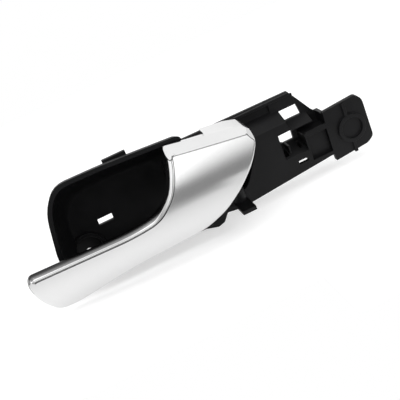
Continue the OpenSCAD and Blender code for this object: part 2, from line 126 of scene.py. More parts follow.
class NodeBoard:
    """A shader tree that is wired node by node."""

    # Places of the colour sockets on a mix node, whose names are used more than once.
    MIX_BASE = 6
    MIX_OTHER = 7
    MIX_RESULT = 2

    def __init__(self, tree: bpy.types.NodeTree) -> None:
        """Takes over the tree of a material or of the world."""
        self.tree = tree

    def link(self, source: Socket, target: Socket) -> None:
        """Joins two sockets."""
        self.tree.links.new(source, target)

    def feed(self, target: Socket, value: Value) -> None:
        """Gives a socket its value.

        Args:
            target: The socket.
            value: Another socket to join it to, or a constant.
        """
        if isinstance(value, bpy.types.NodeSocket):
            self.link(value, target)
        else:
            target.default_value = value

    def calculate(self, kind: str, operation: str, values: Sequence[Value]) -> bpy.types.Node:
        """Adds a calculating node and feeds it.

        Args:
            kind: Blender's name of the node.
            operation: Blender's name of the calculation.
            values: Its inputs, in order.

        Returns:
            The node.
        """
        node = self.tree.nodes.new(kind)
        node.operation = operation
        for target, value in zip(node.inputs, values):
            self.feed(target, value)
        return node

    def number(self, operation: str, *values: Value) -> Socket:
        """Returns the result of a calculation with numbers."""
        return self.calculate("ShaderNodeMath", operation, values).outputs[0]

    def vector(self, operation: str, *values: Value) -> Socket:
        """Returns the result of a calculation with vectors, as a vector."""
        return self.calculate("ShaderNodeVectorMath", operation, values).outputs["Vector"]

    def measure(self, operation: str, *values: Value) -> Socket:
        """Returns the result of a calculation with vectors, as a number."""
        return self.calculate("ShaderNodeVectorMath", operation, values).outputs["Value"]

    def axes(self, place: Socket) -> bpy.types.NodeOutputs:
        """Splits a place into X, Y and Z.

        Args:
            place: The place.

        Returns:
            The node's outputs.
        """
        node = self.tree.nodes.new("ShaderNodeSeparateXYZ")
        self.link(place, node.inputs[0])
        return node.outputs

    def remap(self, value: Socket, source: Flat, target: Flat = (0.0, 1.0)) -> Socket:
        """Maps a value from one range onto another and holds it there.

        Args:
            value: The value.
            source: Start and end of the range that it comes from.
            target: Start and end of the range that it goes to.

        Returns:
            The mapped value.
        """
        node = self.tree.nodes.new("ShaderNodeMapRange")
        for name, limit in zip(("From Min", "From Max", "To Min", "To Max"), (*source, *target)):
            node.inputs[name].default_value = limit
        self.link(value, node.inputs["Value"])
        return node.outputs["Result"]

    def ramp(self, value: Socket, stops: Sequence[tuple[float, Sequence[float]]]) -> Socket:
        """Turns a value into a colour.

        Args:
            value: The value.
            stops: Rising positions between 0 and 1, with the colour at each.

        Returns:
            The colour.
        """
        node = self.tree.nodes.new("ShaderNodeValToRGB")
        elements = node.color_ramp.elements
        elements[0].position = stops[0][0]
        elements[1].position = stops[-1][0]
        for position, _ in stops[1:-1]:
            elements.new(position)
        for element, (_, colour) in zip(elements, stops):
            element.color = colour
        self.link(value, node.inputs["Fac"])
        return node.outputs["Color"]

    def mix(self, share: Socket, base: Value, other: Value, blend: str = "MULTIPLY") -> Socket:
        """Mixes two colours.

        Args:
            share: How much of the other colour there is.
            base: The colour where the share is nought.
            other: The other colour.
            blend: Blender's name of the way they mix.

        Returns:
            The mixed colour.
        """
        node = self.tree.nodes.new("ShaderNodeMix")
        node.data_type = "RGBA"
        node.blend_type = blend
        self.link(share, node.inputs["Factor"])
        self.feed(node.inputs[self.MIX_BASE], base)
        self.feed(node.inputs[self.MIX_OTHER], other)
        return node.outputs[self.MIX_RESULT]


class NodeSheet(NodeBoard):
    """The tree of a new material, with its Principled shader and object coordinates."""

    # What most of a noise lies between, for a value and for a colour.
    NOISE_MIDDLE = (0.3, 0.7)
    TINT_MIDDLE = (0.32, 0.68)
    # How deep the middle of the painted groove shade lies, in widths of its strip, and how long the bead's
    # painted shade and highlight fade in, in millimetres.
    GROOVE_SHADE_MIDDLE = 0.55
    PAINTED_BEAD_FADE = 12.0

    def __init__(self, name: str) -> None:
        """Starts a material with a Principled shader on it.

        Args:
            name: Name of the material.
        """
        self.material = bpy.data.materials.new(name)
        self.material.use_nodes = True
        super().__init__(self.material.node_tree)
        self.shader = self.tree.nodes["Principled BSDF"]
        self.place = self.tree.nodes.new("ShaderNodeTexCoord").outputs["Object"]

    def noise(self, scale: float, detail: float = 2.0, roughness: float = 0.5) -> Socket:
        """Adds a noise on object coordinates.

        Args:
            scale: Cells per metre.
            detail: Octaves.
            roughness: Share that each octave keeps.

        Returns:
            The noise value.
        """
        node = self.tree.nodes.new("ShaderNodeTexNoise")
        node.inputs["Scale"].default_value = scale
        node.inputs["Detail"].default_value = detail
        node.inputs["Roughness"].default_value = roughness
        self.link(self.place, node.inputs["Vector"])
        return node.outputs["Fac"]

    def spread(self, value: Socket, low: float, high: float) -> Socket:
        """Maps the middle of a noise onto a range.

        Args:
            value: The noise value.
            low: Result where the noise is low.
            high: Result where the noise is high.

        Returns:
            The mapped value.
        """
        return self.remap(value, self.NOISE_MIDDLE, (low, high))

    def tint(self, value: Socket, low: Triple, high: Triple) -> Socket:
        """Turns a noise into a colour between two colours.

        Args:
            value: The noise value.
            low: Linear colour where the noise is low.
            high: Linear colour where the noise is high.

        Returns:
            The colour.
        """
        start, end = self.TINT_MIDDLE
        return self.ramp(value, ((start, (*low, 1.0)), (end, (*high, 1.0))))

    def off_axis(self, centre: Triple) -> Socket:
        """Returns how far a place lies from an axis along X.

        Args:
            centre: A point of the axis in millimetres.

        Returns:
            The distance in metres.
        """
        apart = self.vector("SUBTRACT", self.place, Vector(centre) * MM)
        across = self.vector("MULTIPLY", apart, (0.0, 1.0, 1.0))
        return self.measure("LENGTH", across)

    def seam(self, planes: Sequence[Plane], width: float, distance: Socket, radius: float) -> Socket:
        """Marks a narrow strip of a cylinder just under some planes, where a shade is painted into the
        groove.

        Args:
            planes: A point in millimetres and a normal of each plane.
            width: Width of the strip in millimetres.
            distance: Distance from the cylinder's axis.
            radius: Only what lies further from the axis than this, in millimetres, counts.

        Returns:
            One on the strip, nought elsewhere.
        """
        strips = []
        for point, normal in planes:
            height = self.measure("DOT_PRODUCT", self.place, normal)
            middle = point.dot(normal) - width * self.GROOVE_SHADE_MIDDLE
            strips.append(self.number("COMPARE", height, middle * MM, width / 2 * MM))
        total = strips[0]
        for strip in strips[1:]:
            total = self.number("MAXIMUM", total, strip)
        ahead = self.number("GREATER_THAN", distance, radius * MM)
        return self.number("MULTIPLY", total, ahead)

    def paint_light_off_curve(
        self, colour: Socket, distance: Socket, radius: float, steps: Sequence[Flat], end: float, low: float
    ) -> Socket:
        """Paints light and shade into a colour by how far a place lies off a cylinder along X: the bead's
        painted shade and highlight.

        Args:
            colour: The colour.
            distance: Distance from the cylinder's axis.
            radius: The cylinder's radius in millimetres.
            steps: Distances from the cylinder in millimetres, outward positive, with the tone at each.
            end: Only places left of this one along X are toned.
            low: Only places above this height are toned.

        Returns:
            The colour with the painted shade and highlight.
        """
        first, last = steps[0][0], steps[-1][0]
        off = self.remap(distance, ((radius + first) * MM, (radius + last) * MM))
        painted_tones = self.ramp(off, [((step - first) / (last - first), grey(tone)) for step, tone in steps])
        place = self.axes(self.place)
        left = self.remap(place["X"], (end * MM, (end - self.PAINTED_BEAD_FADE) * MM))
        above = self.number("GREATER_THAN", place["Z"], low * MM)
        return self.mix(self.number("MULTIPLY", left, above), colour, painted_tones)

    def bump(self, layers: Sequence[tuple[Socket, float, float]]) -> None:
        """Stacks bumps and joins them to the shader.

        Args:
            layers: Height, strength and distance in millimetres of each bump.
        """
        last = None
        for height, strength, distance in layers:
            node = self.tree.nodes.new("ShaderNodeBump")
            node.inputs["Strength"].default_value = strength
            node.inputs["Distance"].default_value = distance * MM
            self.link(height, node.inputs["Height"])
            if last is not None:
                self.link(last, node.inputs["Normal"])
            last = node.outputs["Normal"]
        self.link(last, self.shader.inputs["Normal"])


@dataclass(frozen=True)
class MouldedPlastic:
    """Black injection-moulded plastic with a fine spark-eroded grain."""

    name: str
    slot: Slot
    dark: Triple = (0.003, 0.003, 0.0034)
    light: Triple = (0.0055, 0.0055, 0.006)
    drift_scale: float = 55.0
    gloss_low: float = 0.36
    gloss_high: float = 0.48
    index: float = 1.5
    shine: float = 0.17
    grain: float = 0.16
    grain_scale: float = 1500.0
    grain_depth: float = 0.12
    flow: float = 0.05
    flow_scale: float = 140.0
    flow_depth: float = 0.2

    def build(self) -> bpy.types.Material:
        """Makes the material: soft colour drift, uneven gloss and a fine grain.

        Returns:
            The new material.
        """
        sheet = NodeSheet(self.name)
        drift = sheet.noise(self.drift_scale, detail=3.0)
        fine = sheet.noise(self.grain_scale, roughness=0.6)
        flow = sheet.noise(self.flow_scale)
        sheet.link(sheet.tint(drift, self.dark, self.light), sheet.shader.inputs["Base Color"])
        sheet.link(sheet.spread(flow, self.gloss_low, self.gloss_high), sheet.shader.inputs["Roughness"])
        sheet.shader.inputs["IOR"].default_value = self.index
        sheet.shader.inputs["Specular IOR Level"].default_value = self.shine
        sheet.bump([(fine, self.grain, self.grain_depth), (flow, self.flow, self.flow_depth)])
        return sheet.material


@dataclass(frozen=True)
class SatinSilver:
    """Satin silver finish of the lever: fine metal flake under a thin clear coat, with painted shade in the
    groove along the bevels and painted shade and highlight on the bead.
    """

    # Millimetres outward from the front's curve, with the tone there: painted shade on the bead's outer flank
    # and a painted highlight along its ridge.
    BEAD_PAINTED_LIGHT: ClassVar[tuple[Flat, ...]] = (
        (-4.6, 0.12), (-2.6, 0.17), (-0.9, 0.26), (-0.25, 0.36), (-0.08, 1.0),
        (0.08, 1.0), (0.2, 0.4), (0.9, 0.42), (1.4, 0.42),
    )

    name: str
    slot: Slot
    centre: Triple
    radius: float
    # Right end, along X, of the bead's painted shade and highlight.
    painted_bead_end: float
    groove_shade_planes: Sequence[Plane]
    dark: Triple = (0.73, 0.73, 0.73)
    light: Triple = (0.77, 0.77, 0.77)
    gloss_low: float = 0.16
    gloss_high: float = 0.21
    drift_scale: float = 38.0
    coat: float = 0.35
    coat_gloss: float = 0.1
    flake: float = 0.03
    flake_scale: float = 4200.0
    flake_depth: float = 0.04
    # Height above which the bead's painted shade and highlight lie.
    painted_bead_low: float = 4.5
    # Painted shade in the groove along the bevels: width of its strip, how far under the face it reaches, and
    # its grey.
    groove_shade_width: float = 0.42
    groove_shade_depth: float = 0.3
    groove_shade_tone: float = 0.26

    def build(self) -> bpy.types.Material:
        """Makes the material: metal with flake, a slight drift in gloss, a clear coat, painted shade in the
        groove and painted shade and highlight on the bead.

        Returns:
            The new material.
        """
        sheet = NodeSheet(self.name)
        flake = sheet.noise(self.flake_scale, detail=1.0)
        drift = sheet.noise(self.drift_scale)
        colour = sheet.tint(flake, self.dark, self.light)
        distance = sheet.off_axis(self.centre)
        # Painted shade: the groove along the bevels is darkened in colour.
        strip = sheet.seam(self.groove_shade_planes, self.groove_shade_width, distance, self.radius - self.groove_shade_depth)
        colour = sheet.mix(strip, colour, grey(self.groove_shade_tone))
        # Painted shade and highlight on the bead: darker on its outer flank, bright along its ridge.
        colour = sheet.paint_light_off_curve(colour, distance, self.radius, self.BEAD_PAINTED_LIGHT, self.painted_bead_end, self.painted_bead_low)
        sheet.link(colour, sheet.shader.inputs["Base Color"])
        sheet.link(sheet.spread(drift, self.gloss_low, self.gloss_high), sheet.shader.inputs["Roughness"])
        sheet.shader.inputs["Metallic"].default_value = 1.0
        sheet.shader.inputs["Coat Weight"].default_value = self.coat
        sheet.shader.inputs["Coat Roughness"].default_value = self.coat_gloss
        sheet.bump([(flake, self.flake, self.flake_depth)])
        return sheet.material


@dataclass(frozen=True)
class DrawnSteel:
    """Bare steel of pin and spring, with fine lines along the drawing direction."""

    name: str
    slot: Slot
    colour: Triple = (0.52, 0.52, 0.53)
    darker: float = 0.78
    drift_scale: float = 300.0
    gloss: float = 0.3
    polished: float = 0.06
    scuffed: float = 0.1
    lines: float = 0.1
    line_scale: float = 2600.0
    line_depth: float = 0.03

    def build(self) -> bpy.types.Material:
        """Makes the material: metal with a grey drift and a fine drawn texture.

        Returns:
            The new material.
        """
        sheet = NodeSheet(self.name)
        lines = sheet.noise(self.line_scale, roughness=0.7)
        drift = sheet.noise(self.drift_scale)
        dark = tuple(part * self.darker for part in self.colour)
        gloss = sheet.spread(lines, self.gloss - self.polished, self.gloss + self.scuffed)
        sheet.link(sheet.tint(drift, dark, self.colour), sheet.shader.inputs["Base Color"])
        sheet.link(gloss, sheet.shader.inputs["Roughness"])
        sheet.shader.inputs["Metallic"].default_value = 1.0
        sheet.bump([(lines, self.lines, self.line_depth)])
        return sheet.material


@dataclass(frozen=True)
class SoftRubber:
    """Matt black rubber of the two buffers."""

    name: str
    slot: Slot
    dark: Triple = (0.014, 0.014, 0.015)
    light: Triple = (0.026, 0.026, 0.027)
    bloom_scale: float = 420.0
    gloss_low: float = 0.7
    gloss_high: float = 0.85
    pores: float = 0.2
    pore_scale: float = 2400.0
    pore_depth: float = 0.08

    def build(self) -> bpy.types.Material:
        """Makes the material: dull, faintly mottled rubber.

        Returns:
            The new material.
        """
        sheet = NodeSheet(self.name)
        bloom = sheet.noise(self.bloom_scale, detail=3.0)
        pores = sheet.noise(self.pore_scale)
        sheet.link(sheet.tint(bloom, self.dark, self.light), sheet.shader.inputs["Base Color"])
        sheet.link(sheet.spread(bloom, self.gloss_low, self.gloss_high), sheet.shader.inputs["Roughness"])
        sheet.bump([(pores, self.pores, self.pore_depth)])
        return sheet.material


class Workpiece:
    """One mesh on the bench. Sizes go in as millimetres, the mesh holds metres."""

    # Reach of the merging and cutting tools, in metres.
    WELD = 0.000002
    CUT_GRIP = 0.000001
    ANY_MARK = -1

    def __init__(self, obj: bpy.types.Object) -> None:
        """Takes over an object whose mesh is already in place."""
        self.obj = obj

    @classmethod
    def skin(cls, name: str, rings: Sequence[Sequence[Vector]]) -> "Workpiece":
        """Makes a closed skin through rings of equal count, with a flat face on the first and last.

        Args:
            name: Name of the piece.
            rings: Rings of points in millimetres.

        Returns:
            The new piece.
        """
        count = len(rings[0])
        points = [p * MM for ring in rings for p in ring]
        faces: list[list[int]] = []
        for r in range(len(rings) - 1):
            for i in range(count):
                a, b = r * count + i, r * count + (i + 1) % count
                faces.append([a, b, b + count, a + count])
        faces.append(list(range(count))[::-1])
        faces.append([(len(rings) - 1) * count + i for i in range(count)])
        mesh = bpy.data.meshes.new(name)
        mesh.from_pydata(points, [], faces)
        obj = bpy.data.objects.new(name, mesh)
        bpy.context.scene.collection.objects.link(obj)
        piece = cls(obj)
        piece.face_outwards()
        return piece

    @classmethod
    def copy_of(cls, name: str, node: str) -> "Workpiece":
        """Copies a node of the frame and merges the copy's loose triangles.

        Args:
            name: Name of the copy.
            node: Name of the node.

        Returns:
            The merged copy.
        """
        obj = bpy.data.objects.new(name, frame["nodes"][node].data.copy())
        obj.data.materials.clear()
        bpy.context.scene.collection.objects.link(obj)
        piece = cls(obj)
        with piece.edit("VERT"):
            bpy.ops.mesh.select_all(action="SELECT")
            bpy.ops.mesh.remove_doubles(threshold=cls.WELD)
        return piece

    def alone(self) -> None:
        """Selects this piece only and makes it active."""
        for other in bpy.context.view_layer.objects:
            other.select_set(False)
        self.obj.select_set(True)
        bpy.context.view_layer.objects.active = self.obj

    @contextmanager
    def edit(self, kind: str = "FACE") -> Iterator[None]:
        """Opens the piece in edit mode.

        Args:
            kind: What is selected: VERT, EDGE or FACE.
        """
        self.alone()
        bpy.ops.object.mode_set(mode="EDIT")
        bpy.ops.mesh.select_mode(type=kind)
        try:
            yield
        finally:
            bpy.ops.object.mode_set(mode="OBJECT")

    def pick_faces(self, test: Callable[[Vector, Vector], bool], mark: int = ANY_MARK) -> int:
        """Selects faces by place and normal, in edit mode.

        Args:
            test: Takes a face's centre in millimetres and its normal.
            mark: Only faces with this material index count, unless it is ANY_MARK.

        Returns:
            How many faces are selected.
        """
        bpy.ops.mesh.select_all(action="DESELECT")
        form = bmesh.from_edit_mesh(self.obj.data)
        hits = [
            face for face in form.faces
            if mark in (self.ANY_MARK, face.material_index)
            and test(face.calc_center_median() / MM, face.normal)
        ]
        for face in hits:
            face.select_set(True)
        bmesh.update_edit_mesh(self.obj.data)
        return len(hits)

    def face_outwards(self) -> None:
        """Turns every face outwards."""
        with self.edit():
            bpy.ops.mesh.select_all(action="SELECT")
            bpy.ops.mesh.normals_make_consistent(inside=False)

    def cut(self, point: Vector, normal: Vector) -> None:
        """Cuts off what lies beyond a plane and closes the cut.

        Args:
            point: A point of the plane in millimetres.
            normal: The plane's normal, towards what goes.
        """
        with self.edit():
            bpy.ops.mesh.select_all(action="SELECT")
            bpy.ops.mesh.bisect(
                plane_co=point * MM, plane_no=normal, use_fill=True, clear_outer=True, threshold=self.CUT_GRIP
            )

    def soften_edges(self, width: float, segments: int = 2, angle: float = 30.0, clamp: bool = True) -> None:
        """Rounds every edge sharper than an angle.

        Args:
            width: Width of the rounding in millimetres.
            segments: Steps across it.
            angle: Smallest angle that is rounded, in degrees.
            clamp: Whether short edges narrow the rounding of the whole piece.
        """
        self.alone()
        modifier = self.obj.modifiers.new("edges", "BEVEL")
        modifier.width = width * MM
        modifier.segments = segments
        modifier.limit_method = "ANGLE"
        modifier.angle_limit = math.radians(angle)
        modifier.use_clamp_overlap = clamp
        bpy.ops.object.modifier_apply(modifier="edges")

    def smooth(self, angle: float) -> None:
        """Shades smooth across edges below an angle in degrees."""
        self.alone()
        bpy.ops.object.shade_smooth_by_angle(angle=math.radians(angle))

    def weigh_normals(self) -> None:
        """Keeps large faces flat in shading, so that only the roundings turn."""
        self.alone()
        modifier = self.obj.modifiers.new("normals", "WEIGHTED_NORMAL")
        modifier.keep_sharp = True
        bpy.ops.object.modifier_apply(modifier="normals")

    def join(self, others: Sequence["Workpiece"]) -> None:
        """Takes other pieces into this one.

        Args:
            others: The other pieces, which are gone afterwards.
        """
        self.alone()
        for other in others:
            other.obj.select_set(True)
        bpy.ops.object.join()

    def dress(self, finish: bpy.types.Material, slot: Slot, body: Body, nodes: Sequence[str]) -> None:
        """Gives the piece its finish and its body, and hides the nodes it replaces.

        Args:
            finish: The material.
            slot: Not used.
            body: The body it rides on.
            nodes: Names of the nodes it replaces.
        """
        self.obj.data.materials.clear()
        self.obj.data.materials.append(finish)
        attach(self.obj, body.value)
        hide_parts(*nodes)


class Outline:
    """A closed outline through soft corners, which can be moved inward."""

    # Steps round a corner, parts of a straight run, and the most that a corner takes of a side.
    STEPS = 10
    RUNS = 6
    LONGEST_REACH = 0.48

    def __init__(self, corners: Sequence[Corner]) -> None:
        """Keeps the corners, which go clockwise seen from the front."""
        self.corners = list(corners)

    def inset(self, depth: float) -> list[Corner]:
        """Moves the corners inward.

        Args:
            depth: How far, in millimetres.

        Returns:
            The moved corners.
        """
        moved = []
        count = len(self.corners)
        for i, corner in enumerate(self.corners):
            before = self.corners[i - 1]
            after = self.corners[(i + 1) % count]
            here = Vector((corner.x, corner.z))
            into = (here - Vector((before.x, before.z))).normalized()
            out = (Vector((after.x, after.z)) - here).normalized()
            m = Vector((into.y, -into.x))
            n = Vector((out.y, -out.x))
            q = here + (m + n) * depth / (1 + m.dot(n))
            moved.append(Corner(q.x, q.y, corner.soft))
        return moved

    def ring(self, depth: float = 0.0) -> list[Vector]:
        """Returns the outline's points at an inset, in X and Z.

        Args:
            depth: Inset in millimetres.

        Returns:
            As many points for any inset.
        """
        corners = self.inset(depth) if depth else self.corners
        arcs = []
        count = len(corners)
        for i, corner in enumerate(corners):
            here = Vector((corner.x, corner.z))
            ends = []
            for other in (corners[i - 1], corners[(i + 1) % count]):
                away = Vector((other.x, other.z)) - here
                ends.append(here + away * min(corner.soft / away.length, self.LONGEST_REACH))
            arc = []
            for k in range(self.STEPS + 1):
                s = k / self.STEPS
                arc.append(ends[0] * (1 - s) ** 2 + here * 2 * s * (1 - s) + ends[1] * s * s)
            arcs.append(arc)
        points = []
        for i, arc in enumerate(arcs):
            start = arcs[(i + 1) % count][0]
            points.extend(arc)
            for k in range(1, self.RUNS):
                points.append(arc[-1].lerp(start, k / self.RUNS))
        return points

    def owners(self) -> list[int]:
        """Returns, for each point, the corner whose arc or following run it belongs to."""
        return [i for i in range(len(self.corners)) for _ in range(self.STEPS + self.RUNS)]


@dataclass
class Lever:
    """The pull lever: a silver shell with a bead, and its black frame. Sizes in millimetres and degrees."""

    # The outline's corner at the tip where the bead starts, and the directions of the two bevels.
    TIP_CORNER: ClassVar[int] = 13
    BEVEL_NORMAL: ClassVar[Triple] = (0.092, -0.430, 0.898)
    CORNER_NORMAL: ClassVar[Triple] = (0.817, -0.6, 0.684)
    # Cosines that tell a bevel's own faces, and how far forward a face of the front has to look.
    SAME_WAY: ClassVar[float] = 0.999
    NEARLY_SAME_WAY: ClassVar[float] = 0.995
    FORWARD: ClassVar[float] = -0.2
    # A hair's breadth in millimetres, and the reach of the cutting tool in metres.
    HAIR: ClassVar[float] = 0.001
    STRIP_GRIP: ClassVar[float] = 0.0000002
    SCORE_GRIP: ClassVar[float] = 0.0000005

    hinge_x: float = HINGE_X
    reach: float = 119.5
    face_radius: float = 48.0
    crown: float = 25.0
    face_z: float = 14.0
    side: float = 4.6
    hollow: float = 3.4
    head_top: float = 41.9
    head_low: float = 26.0
    head_left: float = 27.4
    bevel_height: float = 3.8
    bevel_left: float = 28.0
    corner_right: float = 12.6
    corner_z: float = 32.6
    bead_height: float = 1.1
    bead_start: float = 1.2
    bead_run: float = 1.4
    bead_left: float = 27.5
    slant_start: float = 38.0
    slant_run: float = 14.0
    # How far left of the hinge the bead's painted shade and highlight begin.
    painted_bead_start: float = 32.0
    groove: float = 1.1
    score_low: float = 24.0
    score_width: float = 0.42
    score_depth: float = 0.25
    strip_low: float = -15.7
    strip_height: float = 1.3
    strip_rows: int = 45
    strip_length: float = 8.3
    strip_columns: int = 15
    shell_angle: float = 28.0
    block_angle: float = 16.0
    frame_angle: float = 32.0
    tip_x: float = field(init=False)
    face_y: float = field(init=False)

    def __post_init__(self) -> None:
        """Works out the sizes that follow from the others."""
        self.tip_x = self.hinge_x - self.reach
        self.face_y = self.face_radius - self.crown

    def outline(self) -> Outline:
        """Draws the lever as it is seen from the front.

        Returns:
            The outline, clockwise from the upper left corner of the head.
        """
        h, t = self.hinge_x, self.tip_x
        return Outline(
            [
                Corner(h - 28.8, self.head_top, 1.6),
                Corner(h + 12.4, 35.9, 2),
                Corner(h + 15.9, 32.8, 2),
                Corner(h + 15.4, 27.2, 3),
                Corner(h + 9.5, 18, 5),
                Corner(h - 1.5, 6.6, 6),
                Corner(h - 11.5, -1.4, 6),
                Corner(h - 25, -7.4, 7),
                Corner(h - 69, -9.9, 12),
                Corner(t + 19, -15.9, 6),
                Corner(t + 9.5, -14.6, 4),
                Corner(t + 1.8, -1, 7),
                Corner(t, 10.2, 3),
                Corner(t + 2.8, 13.6, 1.5),
                Corner(h - 62, 11.9, 9),
                Corner(h - 47, 13.6, 6),
                Corner(h - 37.5, 21.4, 5),
                Corner(h - 32.6, 31, 5),
            ]
        )

    def face_at(self, z: float, depth: float = 0.0) -> float:
        """Returns how far forward the lever is.

        Args:
            z: Height in millimetres.
            depth: Depth below the face.

        Returns:
            The place along Y in millimetres.
        """
        radius = self.face_radius - depth
        return self.face_y - math.sqrt(radius * radius - (z - self.face_z) ** 2)

    def bead_share(self, outline: Outline) -> list[float]:
        """Finds where the bead runs.

        Args:
            outline: The lever's outline.

        Returns:
            For each of its points, from 0 to 1, how much of the bead it carries.
        """
        shares = []
        for corner, point in zip(outline.owners(), outline.ring()):
            share = 0.0
            if corner == self.TIP_CORNER:
                share = (point.x - self.tip_x - self.bead_start) / self.bead_run
            elif corner > self.TIP_CORNER or (corner == 0 and point.x < self.hinge_x - self.bead_left):
                share = 1.0
            shares.append(ease(share))
        return shares

    def slant_share(self, x: float) -> float:
        """Returns how much of the blade's slanted bead there is at a place along X."""
        return ease((self.hinge_x - self.slant_start - x) / self.slant_run)

    def profiles(self) -> list[tuple[Flat, Flat, Flat]]:
        """Returns the rings of the shell from its hollow back to its face.

        Returns:
            For each ring, inset and depth without a bead, then with the head's and with the blade's.
        """
        h, g = self.bead_height, self.groove
        back = [(1.8, self.hollow), (1.8, self.side), (0.3, self.side), (0.0, self.side - 0.3)]
        rings = [(p, p, p) for p in back]
        plain = [
            (0.0, 1.6), (0.0, 0.9), (0.07, 0.55), (0.26, 0.26), (0.55, 0.07), (0.9, 0.0), (1.5, 0.0),
            (2.1, 0.0), (2.6, 0.0), (2.9, 0.0), (3.15, 0.0), (3.4, 0.0), (3.7, 0.0), (3.9, 0.0),
            (4.1, 0.0), (4.6, 0.0),
        ]
        raised = [
            (0.0, 2.6), (0.05, 1.7), (0.19, 0.85), (0.42, 0.06), (0.74, -h * 0.54), (1.1, -h * 0.86),
            (1.5, -h), (1.9, -h * 0.94), (2.3, -h * 0.66), (2.6, -h * 0.2), (2.82, g * 0.5),
            (3.0, g), (3.18, g), (3.34, g * 0.2), (3.46, 0.0), (4.2, 0.0),
        ]
        slanted = [
            (0.02, 4.0), (0.16, 3.2), (0.55, 2.0), (1.0, 0.9), (1.42, 0.0), (1.75, -h * 0.66),
            (2.05, -h * 0.96), (2.35, -h), (2.65, -h * 0.84), (2.9, -h * 0.4), (3.08, g * 0.3),
            (3.24, g), (3.42, g), (3.58, g * 0.2), (3.7, 0.0), (4.3, 0.0),
        ]
        return rings + list(zip(plain, raised, slanted))

    def shell(self) -> Workpiece:
        """Makes the silver shell with its bead, bevelled head and top wall.

        Returns:
            The shell, without its finish.
        """
        outline = self.outline()
        share = self.bead_share(outline)
        rings = []
        for plain, raised, slanted in self.profiles():
            low, high, leaning = outline.ring(plain[0]), outline.ring(raised[0]), outline.ring(slanted[0])
            ring = []
            for s, a, b, c in zip(share, low, high, leaning):
                w = self.slant_share(a.x)
                p = a.lerp(b.lerp(c, w), s)
                bead = raised[1] + (slanted[1] - raised[1]) * w
                depth = plain[1] + (bead - plain[1]) * s
                ring.append(Vector((p.x, self.face_at(p.y, depth), p.y)))
            rings.append(ring)
        piece = Workpiece.skin("lever_silver_shell", rings)
        self.lay_on_curve(piece)
        for point, normal in self.bevel_planes(0.0):
            piece.cut(point, normal)
        self.score(piece)
        self.crease(piece)
        piece.smooth(self.shell_angle)
        piece.join([self.head_bar(), self.top_wall()])
        return piece

    def strip_planes(self) -> list[Plane]:
        """Lays out the planes that divide the shell's face into strips.

        Returns:
            A point and a normal of each plane, first by height and then by length.
        """
        planes = []
        for k in range(self.strip_rows):
            planes.append((Vector((0, 0, self.strip_low + self.strip_height * k)), Vector((0, 0, 1))))
        for k in range(self.strip_columns):
            planes.append((Vector((self.tip_x + self.strip_length * (k + 1), 0, 0)), Vector((1, 0, 0))))
        return planes

    def lay_on_curve(self, piece: Workpiece) -> None:
        """Divides the two end faces of the skin in strips and lays them on the face's curve.

        Args:
            piece: The shell, straight from its skin.
        """
        ends = sorted(piece.obj.data.polygons, key=lambda f: len(f.vertices))[-2:]
        for mark, end in enumerate(sorted(ends, key=lambda f: f.normal.y), start=1):
            end.material_index = mark
        for mark, depth in enumerate((0.0, self.hollow), start=1):
            with piece.edit():
                for point, normal in self.strip_planes():
                    piece.pick_faces(lambda c, n: True, mark)
                    bpy.ops.mesh.bisect(plane_co=point * MM, plane_no=normal, threshold=self.STRIP_GRIP)
                form = bmesh.from_edit_mesh(piece.obj.data)
                for face in form.faces:
                    if face.material_index == mark:
                        for vertex in face.verts:
                            vertex.co.y = self.face_at(vertex.co.z / MM, depth) * MM
                bmesh.update_edit_mesh(piece.obj.data)
        for face in piece.obj.data.polygons:
            face.material_index = 0

    def bevel_planes(self, sink: float) -> list[Plane]:
        """Returns the planes of the head's upper bevel and of its right corner.

        Args:
            sink: How far the planes are moved into the lever, in millimetres.

        Returns:
            A point and an outward normal of each plane.
        """
        low = self.head_top - self.bevel_height
        upper = Vector((self.hinge_x - self.bevel_left, self.face_at(low), low))
        corner = Vector((self.hinge_x + self.corner_right, self.face_at(self.corner_z), self.corner_z))
        planes = []
        for point, way in ((upper, self.BEVEL_NORMAL), (corner, self.CORNER_NORMAL)):
            normal = Vector(way).normalized()
            planes.append((point - normal * sink, normal))
        return planes

    def score(self, piece: Workpiece) -> None:
        """Sinks a narrow strip of the face along the front of both bevels.

        Args:
            piece: The shell, with its bevels cut.
        """
        left = self.hinge_x - self.head_left
        planes = self.bevel_planes(0.0)
        lower = self.bevel_planes(self.score_width)

        def on_head(centre: Vector, normal: Vector) -> bool:
            """Says whether a face belongs to the front of the head."""
            return normal.y < self.FORWARD and centre.z > self.score_low and centre.x > left

        def in_strip(centre: Vector, normal: Vector) -> bool:
            """Says whether a face of the front lies in the strip."""
            beyond = any((centre - point).dot(way) > self.HAIR for point, way in lower)
            flat = any(normal.dot(way) > self.NEARLY_SAME_WAY for _, way in planes)
            return beyond and not flat and on_head(centre, normal) and centre.z > self.head_low

        with piece.edit():
            for point, normal in lower:
                piece.pick_faces(on_head)
                bpy.ops.mesh.bisect(plane_co=point * MM, plane_no=normal, threshold=self.SCORE_GRIP)
            count = piece.pick_faces(in_strip)
            sink = Vector((0, self.score_depth, 0)) * MM
            bpy.ops.mesh.extrude_region_move(TRANSFORM_OT_translate={"value": sink})
        LOG.info("strip along the bevels: %d faces", count)

    def crease(self, piece: Workpiece) -> None:
        """Keeps the edges of both bevels crisp, so that each bevel shades as one flat face.

        Args:
            piece: The shell, with its bevels cut.
        """
        with piece.edit():
            for _, way in self.bevel_planes(0.0):
                piece.pick_faces(lambda c, n: n.dot(way) > self.SAME_WAY and c.z > self.head_low)
                bpy.ops.mesh.region_to_loop()
                bpy.ops.mesh.mark_sharp()
                bpy.ops.mesh.select_mode(type="FACE")

